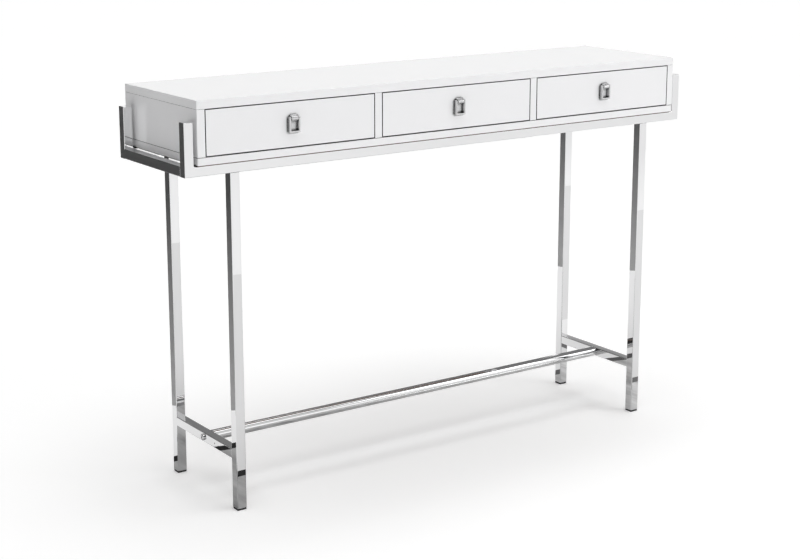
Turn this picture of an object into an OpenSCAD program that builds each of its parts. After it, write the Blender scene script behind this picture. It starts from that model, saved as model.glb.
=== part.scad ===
// Console table: a lacquered case with three drawers, carried in a tray of square chrome tube on
// four slim legs, with a low stretcher at each end and one round cross bar between them.
// Millimetres. +X is the user's right, -Y the front, +Z up. The floor is z = 0.

/* [Table] */
// Height of the table top above the floor
table_h = 797; // [650:1:950]
// Width over the outer faces of the tube frame
frame_w = 1220; // [900:1:1600]
// Depth over the outer faces of the tube frame
frame_d = 265; // [220:1:360]

/* [Tubes] */
// Outer size of the square tube in the tray
rail_tube = 19; // [16:0.5:25]
// Outer size of the square tube in the legs
leg_tube = 20; // [18:0.5:25]
// Outer size of the square tube in the end stretchers
stretcher_tube = 19; // [16:0.5:25]
// Wall thickness of every tube
tube_wall = 1.2; // [1:0.1:2]
// Radius along the outer edges of the square tubes
tube_edge_r = 1.5; // [1:0.1:2]
// Height of the corner upstands above the tray's rails
upstand_rise = 81; // [40:1:100]
// Distance from the frame's end to the outer face of the nearest legs
leg_inset = 92.5; // [60:0.5:200]
// Height of the stretchers' centre line above the floor
stretcher_z = 111; // [60:1:250]
// Diameter of the round cross bar
bar_d = 22; // [20:0.5:24]

/* [Feet] */
// Height of the foot glide that shows under a leg
glide_h = 4; // [2:0.5:10]
// How far the glide's edge stands back from the leg's faces
glide_inset = 0.4; // [0:0.1:1.5]
// Length of the glide's plug inside the leg
glide_plug = 14; // [8:1:25]

/* [Case] */
// Height of the case
case_h = 120; // [110:1:180]
// Gap between the case's ends and the upstands
case_gap = 5.5; // [3:0.5:12]
// How far the case stands forward of the frame
case_front = 4.5; // [0:0.5:10]
// How far the case reaches back behind the frame
case_back = 20.5; // [0:0.5:40]
// Thickness of the top, bottom, end and divider panels
panel_t = 16; // [15:0.5:22]
// Thickness of the back panel
back_t = 9; // [5:0.5:12]
// How far the back panel is set in from the rear edges
back_inset = 2; // [0:0.5:5]

/* [Drawers] */
// Gap all round a drawer front
drawer_gap = 2; // [1:0.1:3]
// Thickness of a drawer front
front_t = 16; // [14:0.5:20]
// Thickness of a drawer's sides and back
side_t = 12; // [9:0.5:15]
// Clear height under a drawer's sides
side_lift = 8; // [4:0.5:15]
// Clear height above a drawer's sides
side_top_room = 16; // [8:1:24]
// Room between the back of a closed drawer and the back panel
rear_room = 23; // [10:1:60]
// Thickness of a drawer's bottom
bottom_t = 4; // [3:0.5:6]
// Depth of the groove that holds a drawer's bottom
groove_depth = 6; // [3:0.5:8]
// Height of that groove above the lower edge of the drawer's sides
groove_lift = 8; // [5:0.5:15]

/* [Runners] */
// Space beside a drawer for its runners
runner_space = 11; // [9:0.5:14]
// Height of the channel fixed in the case
channel_h = 27; // [20:0.5:35]
// Wall thickness of both runner channels
channel_wall = 1.2; // [1:0.1:1.6]
// Sliding clearance between the two channels
channel_gap = 0.4; // [0.3:0.05:0.8]

/* [Pulls] */
// Width of a pull ring
ring_w = 23; // [20:0.5:32]
// Height of a pull ring
ring_h = 30; // [28:0.5:45]
// Thickness of a ring's bars, seen from the front
ring_bar = 3; // [2.5:0.1:4]
// Depth of a ring's bars, front to back
ring_depth = 7; // [5:0.1:7.6]
// Diameter of the round rod that a ring hangs by
rod_d = 4; // [3:0.1:4.6]
// Radial clearance between that rod and the barrel round it
rod_play = 0.08; // [0.05:0.01:0.1]
// Gap between a hanging ring and the drawer front
ring_back_gap = 1.5; // [1:0.1:4]
// Gap between each side of the barrel and the ring
barrel_play = 1.5; // [0.5:0.1:3]
// Outer diameter of the barrel
barrel_d = 9; // [7:0.1:9]
// Height of the barrel's back plate
plate_h = 13; // [11:0.5:16]
// Thickness of the barrel's back plate
plate_t = 2; // [1.5:0.1:3]
// Height of the rod above the middle of the drawer front
rod_rise = 12; // [5:0.5:18]

/* [Fasteners] */
// Diameter of the machine bolts
bolt_d = 8; // [6:0.5:8]
// Diameter of the holes that the machine bolts pass through
bolt_hole = 9; // [8.5:0.1:10]
// Room round a bolt's or a screw's head in the hole that lets it into a rail
head_play = 1; // [0.5:0.1:1.5]
// Diameter of a machine bolt's head
bolt_head_d = 13; // [12:0.5:14]
// Diameter of the wood screws that hold the case on the rails
screw_d = 4; // [3:0.5:4.5]
// Length of those screws inside the bottom panel
screw_bite = 12; // [8:0.5:13]
// Diameter of the dowels between the panels
dowel_d = 8; // [6:0.5:8]
// Length of a dowel in the face of the top or bottom panel
dowel_face = 11; // [8:0.5:12]
// Length of a dowel in the edge of an upright panel
dowel_edge = 18; // [12:0.5:22]
// Diameter of the vent hole in a stretcher
vent_d = 3; // [2:0.5:4]
// Distance of the vent hole forward of the cross bar's bolt
vent_offset = 45; // [30:1:80]

/* [Hidden] */
$fn = 48;

LACQUER = [0.95, 0.95, 0.96];
CHROME = [0.80, 0.81, 0.83];
ZINC = [0.62, 0.64, 0.66];
BOX_BOARD = [0.88, 0.88, 0.86];
BEECH = [0.80, 0.66, 0.48];
BLACK = [0.06, 0.06, 0.06];

LEFT = -1;
RIGHT = 1;
FRONT = -1;
REAR = 1;
SIDES = [LEFT, RIGHT];
ENDS = [FRONT, REAR];
eps = 0.01;
cut = 5;

// Pulls: the rod stands off the drawer front far enough for the ring and for the barrel round it
rod_stand = max(ring_depth / 2 + ring_back_gap, barrel_d / 2);
barrel_w = ring_w - 2 * (ring_bar + barrel_play);

// Front to back: the origin is under the middle of everything, pulls included
pull_proj = rod_stand + max(ring_depth, barrel_d) / 2;
case_d = case_front + frame_d + case_back;
case_y0 = (pull_proj - case_d) / 2;
case_y1 = case_y0 + case_d;
frame_y0 = case_y0 + case_front;
frame_y1 = frame_y0 + frame_d;
mid_y = (frame_y0 + frame_y1) / 2;

// Heights
case_z1 = table_h;
case_z0 = case_z1 - case_h;
rail_z0 = case_z0 - rail_tube;
inner_z0 = case_z0 + panel_t;
inner_z1 = case_z1 - panel_t;
upright_h = inner_z1 - inner_z0;

// Case across
case_w = frame_w - 2 * (rail_tube + case_gap);
bay_w = (case_w - 4 * panel_t) / 3;
bay_pitch = bay_w + panel_t;
back_y1 = case_y1 - back_inset;
back_y0 = back_y1 - back_t;

// Legs, stretchers and cross bar
leg_x = frame_w / 2 - leg_inset - leg_tube / 2;
stretcher_x = frame_w / 2 - leg_inset - stretcher_tube / 2;
bar_len = 2 * stretcher_x - stretcher_tube;

// Leg bolts
access_hole = bolt_head_d + 2 * head_play;
insert_h = 8;
leg_bolt_head_h = 8;
leg_bolt_len = 18;
hex_corner_d = 6.9;
hex_depth = 4;

// Cross bar bolts
bar_insert_len = 20;
bar_head_h = 4;
bar_bolt_grip = 16;
bar_bolt_len = stretcher_tube + bar_bolt_grip;
bar_hex_depth = 2.5;

// Case screws
screw_head_d = 2 * screw_d;
screw_head_h = 2.5;
screw_room = 0.6;
screw_hole = screw_d + screw_room;
screw_access = screw_head_d + 2 * head_play;
screw_pitch = case_w / 3;
SCREW_STEPS = [-1, 0, 1];

// Dowels, three along each joint
dowel_margin = 45;
dowel_ys = [case_y0 + dowel_margin, (case_y0 + back_y0) / 2, back_y0 - dowel_margin];
upright_xs = [for (i = [-1.5, -0.5, 0.5, 1.5]) i * bay_pitch];

// Drawers
front_w = bay_w - 2 * drawer_gap;
front_h = upright_h - 2 * drawer_gap;
front_y1 = case_y0 + front_t;
box_w = bay_w - 2 * runner_space;
side_h = upright_h - side_lift - side_top_room;
side_len = back_y0 - rear_room - front_y1;
box_z0 = inner_z0 + side_lift;
box_z1 = box_z0 + side_h;
box_y1 = front_y1 + side_len;
bottom_z0 = box_z0 + groove_lift;

// Runners: each channel stops short of the panel or the drawer side that it faces
channel_z = box_z0 + side_h / 2;
channel_setback = 2;
case_channel_room = 2;
drawer_channel_room = 1;
case_channel_depth = runner_space - case_channel_room;
drawer_channel_depth = runner_space - channel_wall - drawer_channel_room;
drawer_channel_h = channel_h - 2 * (channel_wall + channel_gap);

// Pulls
rod_z = (inner_z0 + inner_z1) / 2 + rod_rise;
rod_y = case_y0 - rod_stand;
spigot_d = 7;
spigot_len = 6;
pull_screw_d = 4;
pull_screw_head_d = 8;
pull_screw_head_h = 2.4;
pull_screw_hole = 4.5;
pull_screw_tip = spigot_len - 1;
hole_room = 0.2;

// Square outline with rounded corners, centred
module rounded_square(size, r) {
    square([size, size - 2 * r], center = true);
    square([size - 2 * r, size], center = true);
    for (x = SIDES, y = SIDES)
        translate([x * (size / 2 - r), y * (size / 2 - r)])
            circle(r);
}

// Hollow square tube along +Z, centred on the axis; closed_top leaves a wall over the upper end
module square_tube(size, length, closed_top = false) {
    bore = size - 2 * tube_wall;
    bore_top = closed_top ? length - tube_wall : length + cut;
    difference() {
        linear_extrude(length)
            rounded_square(size, tube_edge_r);
        translate([-bore / 2, -bore / 2, -cut])
            cube([bore, bore, bore_top + cut]);
    }
}

// Lays what stands along +Z down along +X or +Y
module along_x() {
    rotate([0, 90, 0])
        children();
}
module along_y() {
    rotate([-90, 0, 0])
        children();
}

// Quarter of space that a 45 degree mitre cuts away, with its corner at the tray's outer corner.
// Turned by lean about Y, it covers what lies above (-45), right (45) or left (-135) of that corner.
module mitre_block(lean) {
    span = 4 * rail_tube;
    rotate([0, lean, 0])
        translate([0, -span / 2, 0])
            cube([span, span, span]);
}

// ---- Tray ----
function rail_y(end) = end == FRONT ? frame_y0 + rail_tube / 2 : frame_y1 - rail_tube / 2;
function leg_y(end) = end == FRONT ? frame_y0 + leg_tube / 2 : frame_y1 - leg_tube / 2;

module long_rail(end) {
    y = rail_y(end);
    bolt_y = leg_y(end);
    color(CHROME)
        difference() {
            translate([-frame_w / 2, y, rail_z0 + rail_tube / 2])
                along_x()
                    square_tube(rail_tube, frame_w);
            for (side = SIDES) {
                translate([side * frame_w / 2, y, rail_z0])
                    mitre_block(-45);
                translate([side * leg_x, bolt_y, rail_z0 - cut])
                    cylinder(d = bolt_hole, h = cut + rail_tube / 2);
                translate([side * leg_x, bolt_y, rail_z0 + rail_tube / 2])
                    cylinder(d = access_hole, h = cut + rail_tube / 2);
            }
            for (i = SCREW_STEPS)
                translate([i * screw_pitch, y, rail_z0]) {
                    translate([0, 0, -cut])
                        cylinder(d = screw_access, h = cut + rail_tube / 2);
                    translate([0, 0, rail_tube / 2])
                        cylinder(d = screw_hole, h = cut + rail_tube / 2);
                }
        }
}

module end_rail(side) {
    color(CHROME)
        translate([side * (frame_w - rail_tube) / 2, frame_y0 + rail_tube, rail_z0 + rail_tube / 2])
            along_y()
                square_tube(rail_tube, frame_d - 2 * rail_tube);
}

module upstand(side, end) {
    y = rail_y(end);
    color(CHROME)
        difference() {
            translate([side * (frame_w - rail_tube) / 2, y, rail_z0])
                square_tube(rail_tube, rail_tube + upstand_rise, closed_top = true);
            translate([side * frame_w / 2, y, rail_z0])
                mitre_block(side == LEFT ? 45 : -135);
        }
}

// ---- Legs ----
module leg(side, end) {
    color(CHROME)
        translate([side * leg_x, leg_y(end), glide_h])
            square_tube(leg_tube, rail_z0 - glide_h);
}

module glide(side, end) {
    pad = leg_tube - 2 * glide_inset;
    plug = leg_tube - 2 * tube_wall;
    color(BLACK)
        translate([side * leg_x, leg_y(end), 0]) {
            linear_extrude(glide_h)
                rounded_square(pad, tube_edge_r);
            translate([-plug / 2, -plug / 2, glide_h])
                cube([plug, plug, glide_plug]);
        }
}

module leg_insert(side, end) {
    plug = leg_tube - 2 * tube_wall;
    translate([side * leg_x, leg_y(end), rail_z0 - insert_h])
        difference() {
            translate([-plug / 2, -plug / 2, 0])
                cube([plug, plug, insert_h]);
            translate([0, 0, -cut])
                cylinder(d = bolt_d, h = insert_h + 2 * cut);
        }
}

// Cap screw with its head up and the underside of the head at z = 0
module cap_screw(length, head_d, head_h, socket_depth) {
    difference() {
        union() {
            cylinder(d = head_d, h = head_h);
            translate([0, 0, -length])
                cylinder(d = bolt_d, h = length + eps);
        }
        translate([0, 0, head_h - socket_depth])
            cylinder(d = hex_corner_d, h = socket_depth + cut, $fn = 6);
    }
}

module leg_inserts() {
    color(ZINC)
        for (side = SIDES, end = ENDS)
            leg_insert(side, end);
}

module leg_bolts() {
    color(ZINC)
        for (side = SIDES, end = ENDS)
            translate([side * leg_x, leg_y(end), rail_z0 + tube_wall])
                cap_screw(leg_bolt_len, bolt_head_d, leg_bolt_head_h, hex_depth);
}

// ---- Stretchers and cross bar ----
module stretcher(side) {
    length = frame_d - 2 * leg_tube;
    color(CHROME)
        difference() {
            translate([side * stretcher_x, frame_y0 + leg_tube, stretcher_z])
                along_y()
                    square_tube(stretcher_tube, length);
            translate([side * stretcher_x - stretcher_tube, mid_y, stretcher_z])
                along_x()
                    cylinder(d = bolt_hole, h = 2 * stretcher_tube);
            translate([side * stretcher_x, mid_y - vent_offset, stretcher_z])
                rotate([0, side * 90, 0])
                    cylinder(d = vent_d, h = stretcher_tube);
        }
}

module cross_bar() {
    color(CHROME)
        translate([-bar_len / 2, mid_y, stretcher_z])
            along_x()
                difference() {
                    cylinder(d = bar_d, h = bar_len);
                    translate([0, 0, -cut])
                        cylinder(d = bar_d - 2 * tube_wall, h = bar_len + 2 * cut);
                }
}

module cross_bar_inserts() {
    color(ZINC)
        for (side = SIDES)
            translate([side * bar_len / 2, mid_y, stretcher_z])
                rotate([0, -side * 90, 0])
                    difference() {
                        cylinder(d = bar_d - 2 * tube_wall, h = bar_insert_len);
                        translate([0, 0, -cut])
                            cylinder(d = bolt_d, h = bar_insert_len + 2 * cut);
                    }
}

module cross_bar_bolts() {
    color(CHROME)
        for (side = SIDES)
            translate([side * (stretcher_x + stretcher_tube / 2), mid_y, stretcher_z])
                rotate([0, side * 90, 0])
                    cap_screw(bar_bolt_len, bolt_head_d, bar_head_h, bar_hex_depth);
}

// ---- Case ----
// Top or bottom board; the dowel holes open towards the inside of the case
module flat_panel(z0, hole_z0, hole_z1) {
    difference() {
        translate([-case_w / 2, case_y0, z0])
            cube([case_w, case_d, panel_t]);
        for (x = upright_xs, y = dowel_ys)
            translate([x, y, hole_z0])
                cylinder(d = dowel_d, h = hole_z1 - hole_z0);
    }
}

module top_panel() {
    color(LACQUER)
        flat_panel(inner_z1, inner_z1 - cut, inner_z1 + dowel_face);
}

module bottom_panel() {
    color(LACQUER)
        difference() {
            flat_panel(case_z0, inner_z0 - dowel_face, inner_z0 + cut);
            for (end = ENDS, i = SCREW_STEPS)
                translate([i * screw_pitch, rail_y(end), case_z0 - cut])
                    cylinder(d = screw_d, h = cut + screw_bite);
        }
}

// End panel or divider, centred on x, from the case's front to y1
module upright(x, y1) {
    color(LACQUER)
        difference() {
            translate([x - panel_t / 2, case_y0, inner_z0])
                cube([panel_t, y1 - case_y0, upright_h]);
            for (y = dowel_ys) {
                translate([x, y, inner_z0 - cut])
                    cylinder(d = dowel_d, h = cut + dowel_edge);
                translate([x, y, inner_z1 - dowel_edge])
                    cylinder(d = dowel_d, h = cut + dowel_edge);
            }
        }
}

module back_panel() {
    color(LACQUER)
        translate([-case_w / 2 + panel_t, back_y0, inner_z0])
            cube([case_w - 2 * panel_t, back_t, upright_h]);
}

module panel_dowels() {
    color(BEECH)
        for (x = upright_xs, y = dowel_ys) {
            translate([x, y, inner_z0 - dowel_face])
                cylinder(d = dowel_d, h = dowel_face + dowel_edge);
            translate([x, y, inner_z1 - dowel_edge])
                cylinder(d = dowel_d, h = dowel_face + dowel_edge);
        }
}

module case_screws() {
    through = tube_wall + screw_bite;
    color(ZINC)
        for (end = ENDS, i = SCREW_STEPS)
            translate([i * screw_pitch, rail_y(end), case_z0 - tube_wall]) {
                translate([0, 0, -screw_head_h])
                    cylinder(d = screw_head_d, h = screw_head_h);
                translate([0, 0, -eps])
                    cylinder(d = screw_d, h = through + eps);
            }
}

// ---- Runners ----
// Channel along +Y with its web at x = 0 and its flanges reaching towards +X
module channel(height, depth, length) {
    difference() {
        translate([0, 0, -height / 2])
            cube([depth, length, height]);
        translate([channel_wall, -cut, -height / 2 + channel_wall])
            cube([depth, length + 2 * cut, height - 2 * channel_wall]);
    }
}

module case_runners() {
    color(ZINC)
        for (bay = [-1, 0, 1], side = SIDES)
            translate([bay * bay_pitch + side * bay_w / 2, front_y1 + channel_setback, channel_z])
                mirror([side == RIGHT ? 1 : 0, 0, 0])
                    channel(channel_h, case_channel_depth, side_len);
}

module drawer_runners(bay) {
    color(ZINC)
        for (side = SIDES)
            translate([bay * bay_pitch + side * box_w / 2, front_y1, channel_z])
                mirror([side == LEFT ? 1 : 0, 0, 0])
                    channel(drawer_channel_h, drawer_channel_depth, side_len);
}

// ---- Drawers: bay is -1, 0 or 1 ----
// The space that the drawer's bottom fills, grooves included
module bottom_slab(bay) {
    translate([bay * bay_pitch - box_w / 2 + side_t - groove_depth, front_y1 - groove_depth, bottom_z0])
        cube([box_w - 2 * (side_t - groove_depth), side_len + groove_depth, bottom_t]);
}

module drawer_front(bay) {
    color(LACQUER)
        difference() {
            translate([bay * bay_pitch - front_w / 2, case_y0, inner_z0 + drawer_gap])
                cube([front_w, front_t, front_h]);
            bottom_slab(bay);
            translate([bay * bay_pitch, case_y0 - cut, rod_z])
                along_y()
                    cylinder(d = pull_screw_hole, h = front_t + 2 * cut);
            translate([bay * bay_pitch, case_y0 - cut, rod_z])
                along_y()
                    cylinder(d = spigot_d + hole_room, h = cut + spigot_len + hole_room);
        }
}

module drawer_side(bay, side) {
    x0 = bay * bay_pitch + (side == LEFT ? -box_w / 2 : box_w / 2 - side_t);
    color(BOX_BOARD)
        difference() {
            translate([x0, front_y1, box_z0])
                cube([side_t, side_len, side_h]);
            bottom_slab(bay);
        }
}

module drawer_back(bay) {
    z0 = bottom_z0 + bottom_t;
    color(BOX_BOARD)
        translate([bay * bay_pitch - box_w / 2 + side_t, box_y1 - side_t, z0])
            cube([box_w - 2 * side_t, side_t, box_z1 - z0]);
}

module drawer_bottom(bay) {
    color(BOX_BOARD)
        bottom_slab(bay);
}

// ---- Pulls ----
module pull_bracket(bay) {
    color(CHROME)
        translate([bay * bay_pitch, rod_y, rod_z])
            difference() {
                union() {
                    translate([-barrel_w / 2, 0, 0])
                        along_x()
                            cylinder(d = barrel_d, h = barrel_w);
                    translate([-barrel_w / 2, 0, -barrel_d / 2])
                        cube([barrel_w, rod_stand, barrel_d]);
                    translate([-barrel_w / 2, rod_stand - plate_t, -plate_h / 2])
                        cube([barrel_w, plate_t, plate_h]);
                    translate([0, rod_stand - eps, 0])
                        along_y()
                            cylinder(d = spigot_d, h = spigot_len + eps);
                }
                translate([-barrel_w / 2 - cut, 0, 0])
                    along_x()
                        cylinder(r = rod_d / 2 + rod_play, h = barrel_w + 2 * cut);
                translate([0, rod_stand + spigot_len - pull_screw_tip, 0])
                    along_y()
                        cylinder(d = pull_screw_d, h = pull_screw_tip + cut);
            }
}

module pull_screw(bay) {
    color(ZINC)
        translate([bay * bay_pitch, front_y1, rod_z]) {
            along_y()
                cylinder(d = pull_screw_head_d, h = pull_screw_head_h);
            translate([0, spigot_len - pull_screw_tip - front_t, 0])
                along_y()
                    cylinder(d = pull_screw_d, h = front_t - spigot_len + pull_screw_tip + eps);
        }
}

module pull_ring(bay) {
    drop = ring_h - ring_depth / 2;
    color(CHROME)
        translate([bay * bay_pitch, rod_y, rod_z]) {
            for (side = SIDES) {
                x0 = side == LEFT ? -ring_w / 2 : ring_w / 2 - ring_bar;
                translate([x0, 0, 0])
                    along_x()
                        cylinder(d = ring_depth, h = ring_bar);
                translate([x0, -ring_depth / 2, -drop])
                    cube([ring_bar, ring_depth, drop]);
            }
            translate([-ring_w / 2, -ring_depth / 2, -drop])
                cube([ring_w, ring_depth, ring_bar]);
            translate([-ring_w / 2 + eps, 0, 0])
                along_x()
                    cylinder(d = rod_d, h = ring_w - 2 * eps);
        }
}

top_panel();
bottom_panel();
upright(upright_xs[0], case_y1);  // left_end_panel
upright(upright_xs[3], case_y1);  // right_end_panel
upright(upright_xs[1], back_y0);  // left_divider
upright(upright_xs[2], back_y0);  // right_divider
back_panel();
panel_dowels();
case_runners();
case_screws();
long_rail(FRONT);  // front_rail
long_rail(REAR);  // rear_rail
end_rail(LEFT);  // left_end_rail
end_rail(RIGHT);  // right_end_rail
upstand(LEFT, FRONT);  // front_left_upstand
upstand(RIGHT, FRONT);  // front_right_upstand
upstand(LEFT, REAR);  // rear_left_upstand
upstand(RIGHT, REAR);  // rear_right_upstand
leg(LEFT, FRONT);  // front_left_leg
leg(RIGHT, FRONT);  // front_right_leg
leg(LEFT, REAR);  // rear_left_leg
leg(RIGHT, REAR);  // rear_right_leg
glide(LEFT, FRONT);  // front_left_glide
glide(RIGHT, FRONT);  // front_right_glide
glide(LEFT, REAR);  // rear_left_glide
glide(RIGHT, REAR);  // rear_right_glide
leg_inserts();
leg_bolts();
stretcher(LEFT);  // left_stretcher
stretcher(RIGHT);  // right_stretcher
cross_bar();
cross_bar_inserts();
cross_bar_bolts();
drawer_front(-1);  // left_drawer_front
drawer_side(-1, LEFT);  // left_drawer_left_side
drawer_side(-1, RIGHT);  // left_drawer_right_side
drawer_back(-1);  // left_drawer_back
drawer_bottom(-1);  // left_drawer_bottom
drawer_runners(-1);  // left_drawer_runners
pull_bracket(-1);  // left_pull_bracket
pull_screw(-1);  // left_pull_screw
pull_ring(-1);  // left_pull_ring
drawer_front(0);  // middle_drawer_front
drawer_side(0, LEFT);  // middle_drawer_left_side
drawer_side(0, RIGHT);  // middle_drawer_right_side
drawer_back(0);  // middle_drawer_back
drawer_bottom(0);  // middle_drawer_bottom
drawer_runners(0);  // middle_drawer_runners
pull_bracket(0);  // middle_pull_bracket
pull_screw(0);  // middle_pull_screw
pull_ring(0);  // middle_pull_ring
drawer_front(1);  // right_drawer_front
drawer_side(1, LEFT);  // right_drawer_left_side
drawer_side(1, RIGHT);  // right_drawer_right_side
drawer_back(1);  // right_drawer_back
drawer_bottom(1);  // right_drawer_bottom
drawer_runners(1);  // right_drawer_runners
pull_bracket(1);  // right_pull_bracket
pull_screw(1);  // right_pull_screw
pull_ring(1);  // right_pull_ring
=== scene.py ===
"""Finishes for a console table: lacquered case, chrome tube frame, drawers with ring pulls."""
import functools
import math

import bmesh
import bpy
from mathutils import Euler, Matrix, Vector


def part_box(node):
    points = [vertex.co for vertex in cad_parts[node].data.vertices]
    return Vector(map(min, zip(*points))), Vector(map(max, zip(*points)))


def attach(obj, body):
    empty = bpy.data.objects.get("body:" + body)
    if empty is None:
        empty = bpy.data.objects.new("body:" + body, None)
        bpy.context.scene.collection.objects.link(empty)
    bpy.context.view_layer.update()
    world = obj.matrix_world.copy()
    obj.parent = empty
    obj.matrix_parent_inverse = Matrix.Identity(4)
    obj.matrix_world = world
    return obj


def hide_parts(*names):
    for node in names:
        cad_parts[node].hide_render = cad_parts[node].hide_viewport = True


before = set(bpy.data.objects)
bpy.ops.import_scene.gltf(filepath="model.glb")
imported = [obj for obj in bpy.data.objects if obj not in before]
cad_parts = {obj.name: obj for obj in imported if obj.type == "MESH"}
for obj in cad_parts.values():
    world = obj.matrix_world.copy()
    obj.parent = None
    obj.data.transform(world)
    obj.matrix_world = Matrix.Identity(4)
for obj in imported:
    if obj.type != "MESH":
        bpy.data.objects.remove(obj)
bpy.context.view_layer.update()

bl_info = {
    "name": "Console Table Finishes",
    "version": (1, 0, 0),
    "blender": (4, 5, 0),
    "location": "View3D > Sidebar > Console Table",
    "description": "Builds the visible pieces of a console table round its fixed frame",
    "category": "Object",
}

MM = 0.001
BODY = "frame_and_case"
BAYS = ("left", "middle", "right")
UPRIGHTS = ("left_end_panel", "left_divider", "right_divider", "right_end_panel")
SIDES = ("left", "right")
ENDS = ("front", "rear")
CORNERS = [(end, side) for end in ENDS for side in SIDES]
UP = Vector((0, 0, 1))
RIGHTWARD = Vector((1, 0, 0))
QUARTER = math.pi / 2

# Fasteners and the holes in the rails for them
SCREW_SHANK = 4 * MM
SCREW_HOLE = 4.6 * MM
SCREW_HEAD_PLAY = 2 * MM
BOLT_SHANK = 8 * MM
BOLT_HOLE = 9 * MM
BOLT_HEAD_HOLE = 15 * MM
HEX_SOCKET = 6.9 * MM

# Near nothing: the radius that closes a turned shape on its axis, and how close doubled points lie
AXIS = 0.02 * MM
TOUCH = 0.001 * MM


# ---- Sizes, finishes and stage that a user may change ----
def length_setting(label, note, default, low, high):
    """Length that a user may change, in metres."""
    return bpy.props.FloatProperty(
        name=label, description=note, default=default, min=low, max=high,
        subtype="DISTANCE", unit="LENGTH")


def colour_setting(label, note, default):
    """Colour that a user may change."""
    return bpy.props.FloatVectorProperty(
        name=label, description=note, default=default, min=0, max=1, size=3, subtype="COLOR")


class TableSizes(bpy.types.PropertyGroup):
    """Small sizes of the visible pieces"""

    board_ease: length_setting(
        "Board Edge", "Radius along the edges of the case's lacquered boards",
        0.25 * MM, 0.1 * MM, 2 * MM)
    under_ease: length_setting(
        "Underside Edge", "Radius of the bottom board's edges, bare along its underside",
        1.6 * MM, 0.1 * MM, 3 * MM)
    joint: length_setting(
        "Board Joint", "Hairline joint between the upright boards and the flat ones",
        0.3 * MM, 0, 0.5 * MM)
    front_ease: length_setting("Drawer Front Edge", "Radius along the edges of a drawer front",
                               0.2 * MM, 0.1 * MM, 3 * MM)
    box_ease: length_setting(
        "Drawer Box Edge", "Radius along the edges of a drawer's sides and back",
        1.2 * MM, 0.1 * MM, 3 * MM)
    tube_wall: length_setting("Tube Wall", "Wall thickness of the tubes",
                              1.2 * MM, 0.8 * MM, 2 * MM)
    tube_edge: length_setting("Tube Edge", "Radius along the edges of the square tubes",
                              1.5 * MM, 0.8 * MM, 3 * MM)
    tube_end: length_setting("Tube End", "Radius round the cut ends of the tubes",
                             0.25 * MM, 0.05 * MM, 0.5 * MM)
    screw_head: length_setting(
        "Case Screw Head", "Diameter of the heads of the screws that hold the case",
        8 * MM, 6 * MM, 9 * MM)
    corner_fillet: length_setting(
        "Tray Corner", "Radius of the polished weld inside the tray's corners",
        3.2 * MM, 1 * MM, 5 * MM)
    cap_edge: length_setting("Upstand Top", "Radius round the closed tops of the corner upstands",
                             1.4 * MM, 0.5 * MM, 3 * MM)


class TableFinishes(bpy.types.PropertyGroup):
    """Colours of the finishes"""

    lacquer: colour_setting("Lacquer", "White gloss lacquer of the case", (0.93, 0.93, 0.94))
    chrome: colour_setting("Chrome", "Chrome plate of the frame and the pulls", (0.79, 0.79, 0.795))
    zinc: colour_setting("Zinc", "Zinc plate of the runners and hidden fasteners",
                         (0.60, 0.62, 0.65))
    box_board: colour_setting("Drawer Box", "Foil on the drawer boxes", (0.80, 0.80, 0.78))
    beech: colour_setting("Dowel Wood", "Beech of the dowels", (0.60, 0.42, 0.24))
    plastic: colour_setting("Glide Plastic", "Black plastic of the foot glides",
                            (0.012, 0.012, 0.013))


class StageSettings(bpy.types.PropertyGroup):
    """Floor, light and camera"""

    floor: colour_setting("Floor", "Colour of the floor", (0.95, 0.95, 0.95))
    camera_place: bpy.props.FloatVectorProperty(
        name="Camera", description="Place of the camera",
        default=(-1.957, -2.734, 1.212), size=3, subtype="TRANSLATION", unit="LENGTH")
    camera_turn: bpy.props.FloatProperty(
        name="Camera Turn", description="How far the camera turns to the right of straight ahead",
        default=math.radians(34.98), subtype="ANGLE", unit="ROTATION")
    camera_dip: bpy.props.FloatProperty(
        name="Camera Dip", description="How far the camera looks down",
        default=math.radians(12.67), subtype="ANGLE", unit="ROTATION")
    lens: bpy.props.FloatProperty(
        name="Lens", description="Focal length in millimetres", default=74.0, min=20, max=200)
    camera_shift: bpy.props.FloatProperty(
        name="Lens Shift", description="Upright shift of the lens",
        default=-0.06, min=-0.2, max=0.2)


# ---- Node trees ----
def fill(tree, node, inputs):
    """Fills a node's inputs with sockets or plain values."""
    for name, value in dict(inputs).items():
        if isinstance(value, bpy.types.NodeSocket):
            tree.links.new(value, node.inputs[name])
        else:
            node.inputs[name].default_value = value


def put(tree, kind, inputs=(), **settings):
    """Adds a node, sets its options and fills its inputs."""
    made = tree.nodes.new(kind)
    for name, value in settings.items():
        setattr(made, name, value)
    fill(tree, made, inputs)
    return made


def maths(tree, operation, first, second=0.0):
    """Result of one sum on sockets or numbers."""
    return put(tree, "ShaderNodeMath", {0: first, 1: second}, operation=operation).outputs[0]


def new_shape_tree(name, inputs):
    """Geometry tree with named inputs and one geometry output; returns it with its group input."""
    tree = bpy.data.node_groups.new(name, "GeometryNodeTree")
    tree.interface.new_socket("Geometry", in_out="OUTPUT", socket_type="NodeSocketGeometry")
    for label, kind in inputs:
        tree.interface.new_socket(label, in_out="INPUT", socket_type="NodeSocket" + kind)
    return tree, tree.nodes.new("NodeGroupInput").outputs


def close_shape_tree(tree, shape, material):
    """Ends a geometry tree in plain geometry that carries its material."""
    real = put(tree, "GeometryNodeRealizeInstances", {"Geometry": shape})
    painted = put(tree, "GeometryNodeSetMaterial",
                  {"Geometry": real.outputs[0], "Material": material})
    put(tree, "NodeGroupOutput", {0: painted.outputs[0]})
    return tree


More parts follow.
